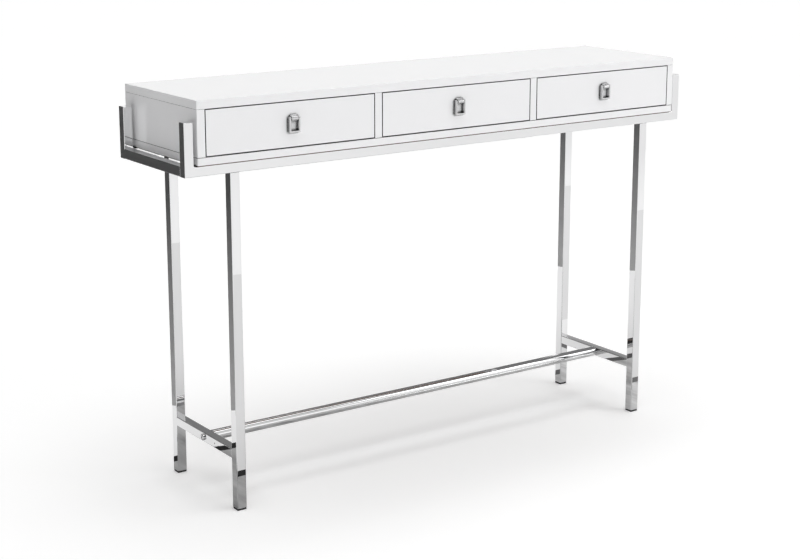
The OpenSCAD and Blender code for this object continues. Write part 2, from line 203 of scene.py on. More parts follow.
def tube_tree():
    """Hollow tube: a flat wall with rounded edges, swept round a square with rounded corners."""
    tree, given = new_shape_tree("Tube", (
        ("Size", "Float"), ("Wall", "Float"), ("Edge Radius", "Float"), ("Edge Steps", "Int"),
        ("Length", "Float"), ("End Radius", "Float"), ("Place", "Vector"), ("Turn", "Rotation"),
        ("Material", "Material")))
    across = maths(tree, "SUBTRACT", given["Size"], given["Wall"])
    half_wall = maths(tree, "MULTIPLY", given["Wall"], 0.5)
    bend = maths(tree, "SUBTRACT", given["Edge Radius"], half_wall)
    path = put(tree, "GeometryNodeCurvePrimitiveQuadrilateral", {"Width": across, "Height": across})
    path = put(tree, "GeometryNodeFilletCurve",
               {"Curve": path.outputs[0], "Radius": bend, "Count": given["Edge Steps"]},
               mode="POLY")
    wall = put(tree, "GeometryNodeCurvePrimitiveQuadrilateral",
               {"Width": given["Wall"], "Height": given["Length"]})
    wall = put(tree, "GeometryNodeFilletCurve",
               {"Curve": wall.outputs[0], "Radius": given["End Radius"], "Count": 2}, mode="POLY")
    swept = put(tree, "GeometryNodeCurveToMesh",
                {"Curve": path.outputs[0], "Profile Curve": wall.outputs[0]})
    placed = put(tree, "GeometryNodeTransform", {
        "Geometry": swept.outputs[0], "Translation": given["Place"], "Rotation": given["Turn"]})
    return close_shape_tree(tree, placed.outputs[0], given["Material"])


def rows_tree():
    """Rows of one fastener on a level grid; Splay tips each one outwards from the middle."""
    tree, given = new_shape_tree("Fastener Rows", (
        ("Fastener", "Object"), ("Columns", "Int"), ("Rows", "Int"), ("Width", "Float"),
        ("Depth", "Float"), ("Place", "Vector"), ("Splay", "Float"), ("Twist", "Float"),
        ("Seed", "Int"), ("Material", "Material")))
    grid = put(tree, "GeometryNodeMeshGrid", {
        "Size X": given["Width"], "Size Y": given["Depth"],
        "Vertices X": given["Columns"], "Vertices Y": given["Rows"]})
    spot = put(tree, "GeometryNodeInputPosition")
    spot = put(tree, "ShaderNodeSeparateXYZ", {0: spot.outputs[0]})
    tip = maths(tree, "MULTIPLY", maths(tree, "SIGN", spot.outputs["X"]), given["Splay"])
    spin = put(tree, "FunctionNodeRandomValue", {"Seed": given["Seed"]}, data_type="FLOAT")
    spin = maths(tree, "MULTIPLY", spin.outputs[1], given["Twist"])
    tipped = put(tree, "FunctionNodeAxisAngleToRotation", {"Axis": (0, 1, 0), "Angle": tip})
    spun = put(tree, "FunctionNodeAxisAngleToRotation", {"Axis": (0, 0, 1), "Angle": spin})
    turn = put(tree, "FunctionNodeRotateRotation",
               {0: tipped.outputs[0], 1: spun.outputs[0]}, rotation_space="LOCAL")
    model = put(tree, "GeometryNodeObjectInfo", {"Object": given["Fastener"]})
    spread = put(tree, "GeometryNodeInstanceOnPoints", {
        "Points": grid.outputs["Mesh"], "Instance": model.outputs["Geometry"],
        "Rotation": turn.outputs[0]})
    placed = put(tree, "GeometryNodeTransform",
                 {"Geometry": spread.outputs[0], "Translation": given["Place"]})
    return close_shape_tree(tree, placed.outputs[0], given["Material"])


def shared_tree(name, maker):
    """The node tree of that name, made once."""
    return bpy.data.node_groups.get(name) or maker()


def grow(name, tree, values):
    """Plain mesh object that a geometry tree makes from named values."""
    host = add_object(name, bpy.data.meshes.new(name))
    modifier = host.modifiers.new(tree.name, "NODES")
    modifier.node_group = tree
    sockets = {s.name: s.identifier for s in tree.interface.items_tree if s.in_out == "INPUT"}
    for label, value in values.items():
        modifier[sockets[label]] = value
    bake_modifiers(host)
    if not host.data.polygons:
        raise RuntimeError(f"the tree {tree.name} made nothing for {name}")
    return host


# ---- Mesh making ----
def add_object(name, mesh):
    """Object of that name in the scene, at the origin."""
    made = bpy.data.objects.new(name, mesh)
    bpy.context.scene.collection.objects.link(made)
    return made


def bake_modifiers(target):
    """Turns an object's modifiers into its plain mesh."""
    graph = bpy.context.evaluated_depsgraph_get()
    mesh = bpy.data.meshes.new_from_object(target.evaluated_get(graph))
    target.modifiers.clear()
    target.data = mesh
    mesh.name = target.name


def combine(target, tool, operation):
    """Adds or cuts a tool object, which is used up."""
    modifier = target.modifiers.new(operation.title(), "BOOLEAN")
    modifier.object = tool
    modifier.operation = operation
    modifier.solver = "EXACT"
    bake_modifiers(target)
    bpy.data.objects.remove(tool)


def loft(name, rings, closed=False):
    """Solid through rings of equal count; open chains get flat ends, closed ones come round."""
    bm = bmesh.new()
    layers = [[bm.verts.new(point) for point in ring] for ring in rings]
    pairs = list(zip(layers, layers[1:]))
    if closed:
        pairs.append((layers[-1], layers[0]))
    else:
        bm.faces.new(layers[0])
        bm.faces.new(layers[-1])
    for first, second in pairs:
        for i in range(len(first)):
            bm.faces.new((first[i - 1], first[i], second[i], second[i - 1]))
    bmesh.ops.recalc_face_normals(bm, faces=bm.faces)
    mesh = bpy.data.meshes.new(name)
    bm.to_mesh(mesh)
    bm.free()
    return add_object(name, mesh)


def round_corners(width, height, radius, steps=4):
    """Outline of a centred rectangle with rounded corners, as (u, v) points."""
    outline = []
    for corner, (u, v) in enumerate(((1, 1), (-1, 1), (-1, -1), (1, -1))):
        for step in range(steps + 1):
            angle = (corner + step / steps) * QUARTER
            outline.append((u * (width / 2 - radius) + radius * math.cos(angle),
                            v * (height / 2 - radius) + radius * math.sin(angle)))
    return outline


def easing(radius, steps=3):
    """Steps round an eased edge, from the end: how far in from the side and from the end."""
    angles = [step / steps * QUARTER for step in range(steps + 1)]
    return [(radius * (1 - math.sin(a)), radius * (1 - math.cos(a))) for a in angles]


def eased_block(name, low, high, ease, corner=None):
    """Block with eased edges between two corners; its upright edges may have a larger radius."""
    centre = (low + high) / 2
    size = high - low
    corner = corner or ease
    levels = [(inset, low.z + drop) for inset, drop in easing(ease)]
    levels += [(inset, high.z - drop) for inset, drop in reversed(easing(ease))]
    rings = []
    for inset, z in levels:
        outline = round_corners(size.x - 2 * inset, size.y - 2 * inset, corner - inset + MM * 0.01)
        rings.append([Vector((centre.x + u, centre.y + v, z)) for u, v in outline])
    return loft(name, rings)


def lathe(name, profile, sides=48, shapes=None):
    """Solid of revolution about +Z through (radius, height) points; shapes makes rings unround."""
    rings = []
    for index, (radius, height) in enumerate(profile):
        shape = (shapes or {}).get(index)
        ring = []
        for side in range(sides):
            angle = 2 * math.pi * side / sides
            reach = radius * shape(angle) if shape else radius
            ring.append(Vector((reach * math.cos(angle), reach * math.sin(angle), height)))
        rings.append(ring)
    return loft(name, rings)


def hexagon(angle):
    """Reach of a hexagon at an angle, as a share of its corner distance."""
    sixth = math.pi / 3
    return math.cos(sixth / 2) / math.cos(angle % sixth - sixth / 2)


def cross(angle):
    """Reach of a cross recess at an angle, as a share of its arm length."""
    arm = 0.28
    least = 1e-6
    c, s = max(abs(math.cos(angle)), least), max(abs(math.sin(angle)), least)
    return max(min(1 / c, arm / s), min(1 / s, arm / c))


def turned(target, angles, place=(0, 0, 0)):
    """Turns an object's mesh and then moves it."""
    target.data.transform(Matrix.Translation(place) @ Euler(angles).to_matrix().to_4x4())
    return target


def smooth(target, sharp_angle=40):
    """Smooth rounds with flat faces kept flat, as plain mesh normals."""
    mesh = target.data
    mesh.polygons.foreach_set("use_smooth", [True] * len(mesh.polygons))
    mesh.set_sharp_from_angle(angle=math.radians(sharp_angle))
    modifier = target.modifiers.new("Weighted Normals", "WEIGHTED_NORMAL")
    modifier.keep_sharp = True
    modifier.weight = 100
    bake_modifiers(target)


def weld(target):
    """Merges doubled points and turns every face outwards."""
    bm = bmesh.new()
    bm.from_mesh(target.data)
    bmesh.ops.remove_doubles(bm, verts=bm.verts, dist=TOUCH)
    bmesh.ops.recalc_face_normals(bm, faces=bm.faces)
    bm.to_mesh(target.data)
    bm.free()


def settle(target, finish, body, *nodes):
    """Smooths and paints a piece, and puts it in the frame in place of its nodes."""
    smooth(target)
    target.data.materials.clear()
    target.data.materials.append(FINISHES[finish]())
    target.data.name = target.name
    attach(target, body)
    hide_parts(*nodes)
    return target


# ---- Finishes ----
def start_material(name):
    """Material with one surface shader; returns it with its tree and the shader."""
    material = bpy.data.materials.new(name + "_finish")
    material.use_nodes = True
    tree = material.node_tree
    tree.nodes.clear()
    shader = put(tree, "ShaderNodeBsdfPrincipled")
    put(tree, "ShaderNodeOutputMaterial", {"Surface": shader.outputs[0]})
    return material, tree, shader


def piece_place(tree):
    """Place on the piece, in metres."""
    return put(tree, "ShaderNodeTexCoord").outputs["Object"]


def grain(tree, scale, detail=2.0, stretch=(1, 1, 1)):
    """Noise over the piece, from 0 to 1, in cells per metre."""
    place = put(tree, "ShaderNodeMapping", {"Vector": piece_place(tree), "Scale": stretch})
    return put(tree, "ShaderNodeTexNoise", {
        "Vector": place.outputs[0], "Scale": scale, "Detail": detail}).outputs[0]


def remap(tree, value, start, end, low, high, **settings):
    """A value brought from the span between start and end to that between low and high."""
    return put(tree, "ShaderNodeMapRange", {
        "Value": value, "From Min": start, "From Max": end, "To Min": low, "To Max": high},
        **settings).outputs[0]


def spread(tree, value, low, high):
    """Noise brought to a range; its usual span from 0.3 to 0.7 fills the range."""
    return remap(tree, value, 0.3, 0.7, low, high)


def tint(tree, value, dark, light):
    """Colour between two colours."""
    ends = {"Factor": value, 6: (*dark, 1), 7: (*light, 1)}
    return put(tree, "ShaderNodeMix", ends, data_type="RGBA").outputs[2]


def bump(tree, shader, height, depth):
    """Relief of a real depth in metres on a shader; returns its direction."""
    relief = put(tree, "ShaderNodeBump", {"Height": height, "Distance": depth, "Strength": 1.0})
    fill(tree, shader, {"Normal": relief.outputs[0]})
    return relief.outputs[0]


def painted_gap_shade(tree, colour, distance, closed, clear, darkest):
    """A colour darkened by painted shade in gaps narrower than a distance, read from ambient
    occlusion.
    """
    # Painted shade: the less open a point is, the darker its colour, down to darkest.
    room = put(tree, "ShaderNodeAmbientOcclusion", {"Distance": distance}, samples=6).outputs["AO"]
    shade_factor = remap(tree, room, closed, clear, darkest, 1.0)
    return put(tree, "ShaderNodeVectorMath", {0: colour, 1: shade_factor}, operation="MULTIPLY").outputs[0]


def shade(colour, factor):
    """A colour made darker or lighter."""
    return tuple(min(1.0, channel * factor) for channel in colour)


def lacquer():
    """White gloss lacquer: a satin white under a clear coat, with faint ripples and wipe marks, and
    painted shade that darkens it in narrow gaps and seams.
    """
    colour = bpy.context.scene.table_finishes.lacquer
    material, tree, shader = start_material("lacquer")
    drift = tint(tree, grain(tree, 2.5, 3), shade(colour, 0.985), colour)
    wipe = grain(tree, 14, 4, (1, 1, 3))
    fill(tree, shader, {
        # Painted shade: the white darkens in gaps and seams narrower than 5 mm, such as round the
        # drawer fronts.
        "Base Color": painted_gap_shade(tree, drift, 5 * MM, 0.62, 0.95, 0.01),
        "Roughness": spread(tree, wipe, 0.30, 0.42), "Specular IOR Level": 0.1,
        "Coat Weight": 1.0, "Coat Roughness": 0.025, "Coat IOR": 1.5})
    ripple = bump(tree, shader, grain(tree, 260, 1), 0.006 * MM)
    fill(tree, shader, {"Coat Normal": ripple})
    return material


def chrome(name="chrome", factor=1.0, haze=(0.0, 0.01)):
    """Chrome plate: mirror bright, with slow waves, faint clouds and a faint haze."""
    colour = shade(bpy.context.scene.table_finishes.chrome, factor)
    material, tree, shader = start_material(name)
    fill(tree, shader, {
        "Base Color": tint(tree, grain(tree, 9, 3), shade(colour, 0.96), colour),
        "Metallic": 1.0, "Roughness": spread(tree, grain(tree, 60, 4), *haze)})
    bump(tree, shader, grain(tree, 22, 1), 0.05 * MM)
    return material


def satin_chrome():
    """The pulls' duller plate."""
    return chrome("satin_chrome", 0.78, (0.16, 0.24))


def raw_edge():
    """Bare fibreboard: brown, with short pressed fibres, and painted shade that darkens it close to
    other parts.
    """
    material, tree, shader = start_material("raw_edge")
    fibres = grain(tree, 1200, 4, (1, 1, 4))
    brown = tint(tree, fibres, (0.10, 0.062, 0.048), (0.20, 0.130, 0.100))
    fill(tree, shader, {
        # Painted shade: the brown darkens within 14 mm of other parts, such as the rail under the
        # case.
        "Base Color": painted_gap_shade(tree, brown, 14 * MM, 0.55, 0.95, 0.12), "Roughness": 0.85})
    bump(tree, shader, fibres, 0.05 * MM)
    return material


def zinc_steel():
    """Zinc plate: dull grey metal with a fine spangle."""
    colour = bpy.context.scene.table_finishes.zinc
    material, tree, shader = start_material("zinc_steel")
    spangle = put(tree, "ShaderNodeTexVoronoi", {"Vector": piece_place(tree), "Scale": 420.0})
    flake = put(tree, "ShaderNodeSeparateColor", {0: spangle.outputs["Color"]}).outputs[0]
    fill(tree, shader, {
        "Base Color": tint(tree, flake, shade(colour, 0.86), shade(colour, 1.08)),
        "Metallic": 1.0, "Roughness": spread(tree, grain(tree, 500, 3, (6, 1, 1)), 0.26, 0.44)})
    bump(tree, shader, grain(tree, 900, 2), 0.01 * MM)
    return material


def drawer_board():
    """Satin foil on board, with a fine pressed grain that runs front to back."""
    colour = bpy.context.scene.table_finishes.box_board
    material, tree, shader = start_material("drawer_board")
    strands = grain(tree, 160, 4, (6, 1, 6))
    fill(tree, shader, {
        "Base Color": tint(tree, strands, shade(colour, 0.95), shade(colour, 1.03)),
        "Roughness": spread(tree, strands, 0.42, 0.56)})
    bump(tree, shader, strands, 0.03 * MM)
    return material


def dowel_wood():
    """Plain beech: upright fibres with short darker flecks."""
    colour = bpy.context.scene.table_finishes.beech
    material, tree, shader = start_material("dowel_wood")
    fibres = grain(tree, 900, 4, (1, 1, 0.06))
    fill(tree, shader, {
        "Base Color": tint(tree, fibres, shade(colour, 0.7), shade(colour, 1.15)),
        "Roughness": 0.7})
    bump(tree, shader, fibres, 0.04 * MM)
    return material


def glide_plastic():
    """Black moulded plastic with a fine spark-eroded texture."""
    colour = bpy.context.scene.table_finishes.plastic
    material, tree, shader = start_material("glide_plastic")
    pits = grain(tree, 1800, 2)
    fill(tree, shader, {
        "Base Color": tint(tree, pits, shade(colour, 0.8), shade(colour, 1.5)),
        "Roughness": spread(tree, grain(tree, 300, 3), 0.42, 0.6)})
    bump(tree, shader, pits, 0.02 * MM)
    return material


FINISHES = {maker.__name__: functools.cache(maker) for maker in (
    lacquer, raw_edge, chrome, satin_chrome, zinc_steel, drawer_board, dowel_wood, glide_plastic)}


# ---- Case and drawers ----
def extent(node):
    """A node's lowest corner, highest corner and middle."""
    low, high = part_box(node)
    return low, high, (low + high) / 2


def board(name, node, ease, finish, body, joint=0.0):
    """Board with eased edges that fills its node's box, less a hairline joint above and below."""
    low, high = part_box(node)
    return settle(eased_block(name, low + UP * joint, high - UP * joint, ease), finish, body, node)


def bare_and_shaded_below(piece, depth):
    """Leaves a board's underside bare, and its edges up to a depth above it: a dark brown band
    along the foot that is partly the bare board and partly painted shade where the case sits on the
    rail.
    """
    piece.data.materials.append(FINISHES["raw_edge"]())
    floor = min(v.co.z for v in piece.data.vertices)
    for face in piece.data.polygons:
        if face.center.z < floor + depth:
            face.material_index = 1


class TABLE_OT_case(bpy.types.Operator):
    """Builds the lacquered boards of the case"""

    bl_idname = "table.case"
    bl_label = "Case Boards"

    def execute(self, context):
        sizes = context.scene.table_sizes
        board("top_board", "top_panel", sizes.board_ease, "lacquer", BODY)
        bottom = board("bottom_board", "bottom_panel", sizes.under_ease, "lacquer", BODY)
        # Bare underside, with a dark band up its rounded edges that is partly painted shade where
        # the case sits on the rail.
        bare_and_shaded_below(bottom, sizes.under_ease)
        for name in UPRIGHTS + ("back_panel",):
            piece = name.replace("_panel", "") + "_board"
            board(piece, name, sizes.board_ease, "lacquer", BODY, sizes.joint)
        return {"FINISHED"}


class TABLE_OT_drawers(bpy.types.Operator):
    """Builds the drawer fronts and the boxes behind them"""

    bl_idname = "table.drawers"
    bl_label = "Drawers"

    def execute(self, context):
        sizes = context.scene.table_sizes
        for bay in BAYS:
            drawer = bay + "_drawer"
            board(drawer + "_face", drawer + "_front", sizes.front_ease, "lacquer", drawer)
            for part in ("left_side", "right_side", "back", "bottom"):
                node = f"{drawer}_{part}"
                board(node + "_board", node, sizes.box_ease, "drawer_board", drawer)
        return {"FINISHED"}


# ---- Runners ----
def channel_outline(height, depth, wall, bend, steps=4):
    """Outline of a channel that opens towards +u, with rounded bends."""
    outline = [(depth, -height / 2)]
    for turn, (v, start) in enumerate(((-1, 3), (1, 2))):
        for step in range(steps + 1):
            angle = (start - step / steps) * QUARTER
            outline.append((bend + bend * math.cos(angle),
                            v * (height / 2 - bend) + bend * math.sin(angle)))
    outline += [(depth, height / 2), (depth, height / 2 - wall)]
    inner = bend - wall
    for v, start in ((1, 1), (-1, 2)):
        for step in range(steps + 1):
            angle = (start + step / steps) * QUARTER
            outline.append((bend + inner * math.cos(angle),
                            v * (height / 2 - bend) + inner * math.sin(angle)))
    outline.append((depth, wall - height / 2))
    return outline


def channel(name, low, high, wall, opens):
    """Steel channel that fills a box and opens towards +X (1) or -X (-1)."""
    bend = 1.8 * wall
    outline = channel_outline(high.z - low.z, high.x - low.x, wall, bend)
    web = low.x if opens > 0 else high.x
    middle = (low.z + high.z) / 2
    return loft(name, [[Vector((web + opens * u, y, middle + v)) for u, v in outline]
                       for y in (low.y, high.y)])


class TABLE_OT_runners(bpy.types.Operator):
    """Builds the runner channels in the case and on the drawers"""

    bl_idname = "table.runners"
    bl_label = "Runners"

    def execute(self, context):
        wall = context.scene.table_sizes.tube_wall
        case_low, case_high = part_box("case_runners")
        depth = channel_depth()
        pieces = []
        for bay, left, right in zip(BAYS, UPRIGHTS, UPRIGHTS[1:]):
            drawer = bay + "_drawer"
            low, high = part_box(drawer + "_runners")
            left_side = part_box(drawer + "_left_side")[0].x
            right_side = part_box(drawer + "_right_side")[1].x
            pair = [channel(drawer + "_channel", low, Vector((left_side, *high.yz)), wall, -1),
                    channel("right", Vector((right_side, *low.yz)), high, wall, 1)]
            join(pair)
            settle(pair[0], "zinc_steel", drawer, drawer + "_runners")
            for panel, opens in ((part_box(left)[1].x, 1), (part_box(right)[0].x, -1)):
                x = sorted((panel, panel + opens * depth))
                pieces.append(channel("case_channels", Vector((x[0], *case_low.yz)),
                                      Vector((x[1], *case_high.yz)), wall, opens))
        join(pieces)
        settle(pieces[0], "zinc_steel", BODY, "case_runners")
        return {"FINISHED"}


def channel_depth():
    """How far a case channel reaches out from its panel, measured on its node's points."""
    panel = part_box("left_end_panel")[1].x
    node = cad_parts["case_runners"]
    near = [v.co.x for v in node.data.vertices if v.co.x < panel + 20 * MM]
    return max(near) - panel


def join(pieces):
    """Joins pieces into the first one."""
    bm = bmesh.new()
    for piece in pieces:
        bm.from_mesh(piece.data)
    bm.to_mesh(pieces[0].data)
    bm.free()
    for piece in pieces[1:]:
        bpy.data.objects.remove(piece)


# ---- Tubes ----
def tube(name, node, sizes, axis="Z", edge=None, edge_steps=5):
    """Straight hollow tube along an axis, in place of its node."""
    low, high, middle = extent(node)
    size = high - low
    turn = {"X": (0, QUARTER, 0), "Y": (QUARTER, 0, 0), "Z": (0, 0, 0)}[axis]
    made = grow(name, shared_tree("Tube", tube_tree), {
        "Size": min(size), "Wall": sizes.tube_wall, "Edge Radius": edge or sizes.tube_edge,
        "Edge Steps": edge_steps, "Length": size["XYZ".index(axis)], "End Radius": sizes.tube_end,
        "Place": middle, "Turn": turn, "Material": FINISHES["chrome"]()})
    weld(made)
    return made


def mitre_ring(outline, corner, own, other, fillet, edge, angle):
    """Section of a bent tube in the plane that stands at an angle to the bend's start.

    outline holds (across, depth) points, with depth 0 on the inside of the bend. corner is the
    inner corner, own and other point inwards from the tube's two runs. Depths down to edge turn
    with the fillet, and the rest run straight to the mitre.
    """
    centre = corner + (own + other) * fillet
    away = -(own * math.cos(angle) + other * math.sin(angle))
    lean = min(angle, QUARTER - angle)
    ring = []
    for across, depth in outline:
        follow = max(0.0, 1 - depth / edge)
        reach = (fillet + depth) * (follow + (1 - follow) / math.cos(lean))
        ring.append(centre + away * reach + Vector((0, across, 0)))
    return ring


def tube_outline(size, radius, steps):
    """Square tube's outline as (across, depth) points."""
    return [(u, size / 2 - v) for u, v in round_corners(size, size, radius, steps)]


def straight_ring(outline, point, own):
    """Section of a straight run; point lies on its inner face."""
    return [point - own * depth + Vector((0, across, 0)) for across, depth in outline]


class TrayCorner:
    """One end of a tray frame: its inner corner, directions and tube sizes."""

    def __init__(self, end, side, sizes):
        rail_low, rail_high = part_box(f"{end}_rail")
        post_low, post_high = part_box(f"{end}_{side}_upstand")
        self.size = rail_high.z - rail_low.z
        self.inward = RIGHTWARD if side == "left" else -RIGHTWARD
        x = post_high.x if side == "left" else post_low.x
        self.corner = Vector((x, (rail_low.y + rail_high.y) / 2, rail_high.z))
        self.top = post_high.z
        self.fillet = sizes.corner_fillet
        self.edge = sizes.tube_edge
        self.outline = tube_outline(self.size, sizes.tube_edge, 5)
        wall = sizes.tube_wall
        inner = self.size - 2 * wall
        bore = round_corners(inner, inner, max(self.edge - wall, wall / 4), 5)
        self.bore = [(u, self.size / 2 - v) for u, v in bore]

    def rings(self, own, other, steps=5):
        """Outer rings from the straight run to the mitre."""
        return [mitre_ring(self.outline, self.corner, own, other, self.fillet, self.edge,
                           step / steps * QUARTER / 2) for step in range(steps + 1)]

    def bore_ring(self, own, other):
        """Bore's ring on the mitre."""
        return mitre_ring(self.bore, self.corner, own, other, self.fillet, TOUCH, QUARTER / 2)


def tray_rail(name, end, sizes):
    """Long rail of the tray: mitred at both ends, drilled for the case screws and the leg bolts."""
    left, right = (TrayCorner(end, side, sizes) for side in SIDES)
    outer = left.rings(UP, left.inward)[::-1] + right.rings(UP, right.inward)
    bore = [right.bore_ring(UP, right.inward), left.bore_ring(UP, left.inward)]
    rail = loft(name, outer + bore, closed=True)
    lower_wall, upper_wall = (-left.size - MM, -left.size / 2), (-left.size / 2, MM)
    low, high, middle = extent("case_screws")
    step = (high.x - low.x - sizes.screw_head) / 2
    for x in (middle.x - step, middle.x, middle.x + step):
        place = (x, left.corner.y, left.corner.z)
        drill(rail, place, lower_wall, sizes.screw_head + SCREW_HEAD_PLAY)
        drill(rail, place, upper_wall, SCREW_HOLE)
    for side in SIDES:
        leg = extent(f"{end}_{side}_leg")[2]
        place = (leg.x, leg.y, left.corner.z)
        drill(rail, place, lower_wall, BOLT_HOLE)
        drill(rail, place, upper_wall, BOLT_HEAD_HOLE)
    return rail


def drill(piece, place, heights, diameter):
    """Cuts an upright round hole between two heights above a place."""
    tool = lathe("drill", [(diameter / 2, heights[0]), (diameter / 2, heights[1])], 48)
    combine(piece, turned(tool, (0, 0, 0), place), "DIFFERENCE")


def tray_upstand(name, end, side, sizes):
    """Corner upstand: mitred at the foot, with a closed and rounded top."""
    corner = TrayCorner(end, side, sizes)
    inner_face = Vector((corner.corner.x, corner.corner.y, 0))
    ceiling = straight_ring(corner.bore, inner_face + UP * (corner.top - sizes.tube_wall),
                            corner.inward)
    outer = corner.rings(corner.inward, UP)[::-1]
    for inset, drop in reversed(easing(sizes.cap_edge, 5)):
        size = corner.size - 2 * inset
        outline = [(u, corner.size / 2 - v) for u, v in
                   round_corners(size, size, max(corner.edge - inset, MM * 0.02), 5)]
        outer.append(straight_ring(outline, inner_face + UP * (corner.top - drop), corner.inward))
    return loft(name, [ceiling, corner.bore_ring(corner.inward, UP)] + outer)


class TABLE_OT_tray(bpy.types.Operator):
    """Builds the tray: two mitred rails with their upstands, and two end rails between them"""

    bl_idname = "table.tray"
    bl_label = "Tray"

    def execute(self, context):
        sizes = context.scene.table_sizes
        for end in ENDS:
            settle(tray_rail(end + "_rail_tube", end, sizes), "chrome", BODY, end + "_rail")
            for side in SIDES:
                post = f"{end}_{side}_upstand"
                settle(tray_upstand(post + "_tube", end, side, sizes), "chrome", BODY, post)
        for side in SIDES:
            rail = side + "_end_rail"
            settle(tube(rail + "_tube", rail, sizes, "Y"), "chrome", BODY, rail)
        return {"FINISHED"}


class TABLE_OT_legs(bpy.types.Operator):
    """Builds the four legs"""

    bl_idname = "table.legs"
    bl_label = "Legs"

    def execute(self, context):
        sizes = context.scene.table_sizes
        for end, side in CORNERS:
            leg = f"{end}_{side}_leg"
            settle(tube(leg + "_tube", leg, sizes), "chrome", BODY, leg)
        return {"FINISHED"}


class TABLE_OT_glides(bpy.types.Operator):
    """Builds the foot glides: a pad under each leg with a plug inside it"""

    bl_idname = "table.glides"
    bl_label = "Foot Glides"

    def execute(self, context):
        sizes = context.scene.table_sizes
        pad_ease, plug_ease = 0.5 * MM, 0.4 * MM
        for end, side in CORNERS:
            glide = f"{end}_{side}_glide"
            low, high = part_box(glide)
            leg_low, leg_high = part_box(f"{end}_{side}_leg")
            pad = eased_block(glide + "_pad", low, Vector((*high.xy, leg_low.z)), pad_ease,
                              sizes.tube_edge)
            inset = sizes.tube_wall - (leg_high.x - high.x)
            margin = Vector((inset, inset, 0))
            plug_low = Vector((*low.xy, leg_low.z - pad_ease)) + margin
            plug = eased_block("plug", plug_low, high - margin, plug_ease)
            combine(pad, plug, "UNION")
            settle(pad, "glide_plastic", BODY, glide)
        return {"FINISHED"}


class TABLE_OT_stretchers(bpy.types.Operator):
    """Builds the end stretchers and the round cross bar between them"""

    bl_idname = "table.stretchers"
    bl_label = "Stretchers and Cross Bar"

    vent: length_setting("Vent Hole", "Diameter of the vent hole in a stretcher's outer face",
                         3 * MM, MM, 5 * MM)
    vent_offset: length_setting("Vent Place", "Distance of the vent hole forward of the cross bar",
                                45 * MM, 20 * MM, 80 * MM)

    def execute(self, context):
        sizes = context.scene.table_sizes
        bar_low, bar_high, middle = extent("cross_bar")
        for side in SIDES:
            stretcher = side + "_stretcher"
            low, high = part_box(stretcher)
            made = tube(stretcher + "_tube", stretcher, sizes, "Y")
            outer = low.x if side == "left" else high.x
            depth = 3 * sizes.tube_wall
            tool = lathe("drill", [(self.vent / 2, -depth), (self.vent / 2, depth)], 24)
            turned(tool, (0, QUARTER, 0), (outer, middle.y - self.vent_offset, middle.z))
            combine(made, tool, "DIFFERENCE")
            settle(made, "chrome", BODY, stretcher)
        bar = tube("cross_bar_tube", "cross_bar", sizes, "X",
                   edge=(bar_high.z - bar_low.z) / 2 - 0.01 * MM, edge_steps=14)
        settle(bar, "chrome", BODY, "cross_bar")
        return {"FINISHED"}


# ---- Fasteners ----
def cap_bolt(head_d, head_h, shank_len, socket_depth, dome):
    """Bolt with a hexagon socket; the underside of its head is at z = 0."""
    head, shank, socket = head_d / 2, BOLT_SHANK / 2, HEX_SOCKET / 2
    end, seat, rim, cone = 0.6 * MM, 0.2 * MM, 0.3 * MM, 0.4 * MM
    profile = [(AXIS, -shank_len), (shank - end, -shank_len), (shank, end - shank_len),
               (shank, 0), (head - seat, 0), (head, rim)]
    for step in range(1, 6):
        angle = step / 5 * QUARTER
        profile.append((head - dome * (1 - math.cos(angle)),
                        head_h - dome + dome * math.sin(angle)))
    first = len(profile)
    profile += [(socket + rim, head_h), (socket, head_h - rim), (socket, head_h - socket_depth),
                (AXIS, head_h - socket_depth - cone)]
    return lathe("bolt", profile, 48, {first + 1: hexagon, first + 2: hexagon})


def pan_screw(head_d, head_h, shank_len, pitch=1.4 * MM):
    """Wood screw with a pan head, a cross recess and threads; its head is below z = 0."""
    head, shank = head_d / 2, SCREW_SHANK / 2
    core, tip, flank = 0.72 * shank, 3 * MM, 0.35 * pitch
    profile = [(AXIS, shank_len)]
    for turn in range(int((shank_len - tip) / pitch), 0, -1):
        z = turn * pitch
        taper = min(1.0, (shank_len - z) / tip)
        profile += [(core * taper, z + flank), (shank * taper, z), (core * taper, z - flank)]
    profile += [(core, 0), (head, 0), (head, -0.3 * head_h)]
    for step in range(1, 5):
        angle = step / 4 * QUARTER
        profile.append((head * (0.55 + 0.45 * math.cos(angle)),
                        -head_h * (0.3 + 0.7 * math.sin(angle))))
    first = len(profile)
    profile += [(head * 0.5, -head_h), (head * 0.42, -head_h * 0.5), (AXIS, -head_h * 0.4)]
    return lathe("screw", profile, 48, {first: cross, first + 1: cross})


def thread_bore(piece, low, high):
    """Cuts an upright bore for a bolt between two heights."""
    bore = lathe("bore", [(BOLT_SHANK / 2, low), (BOLT_SHANK / 2, high)], 32)
    combine(piece, bore, "DIFFERENCE")


def rows_of(name, model, finish, nodes, body=BODY, columns=1, rows=1, width=0.0, depth=0.0,
            place=(0, 0, 0), splay=0.0, twist=0.0, seed=1):
    """Rows of one fastener, made by the node tree; the model is used up."""
    made = grow(name, shared_tree("Fastener Rows", rows_tree), {
        "Fastener": model, "Columns": columns, "Rows": rows, "Width": width, "Depth": depth,
        "Place": place, "Splay": splay, "Twist": twist, "Seed": seed,
        "Material": FINISHES[finish]()})
    bpy.data.objects.remove(model)
    return settle(made, finish, body, *nodes)


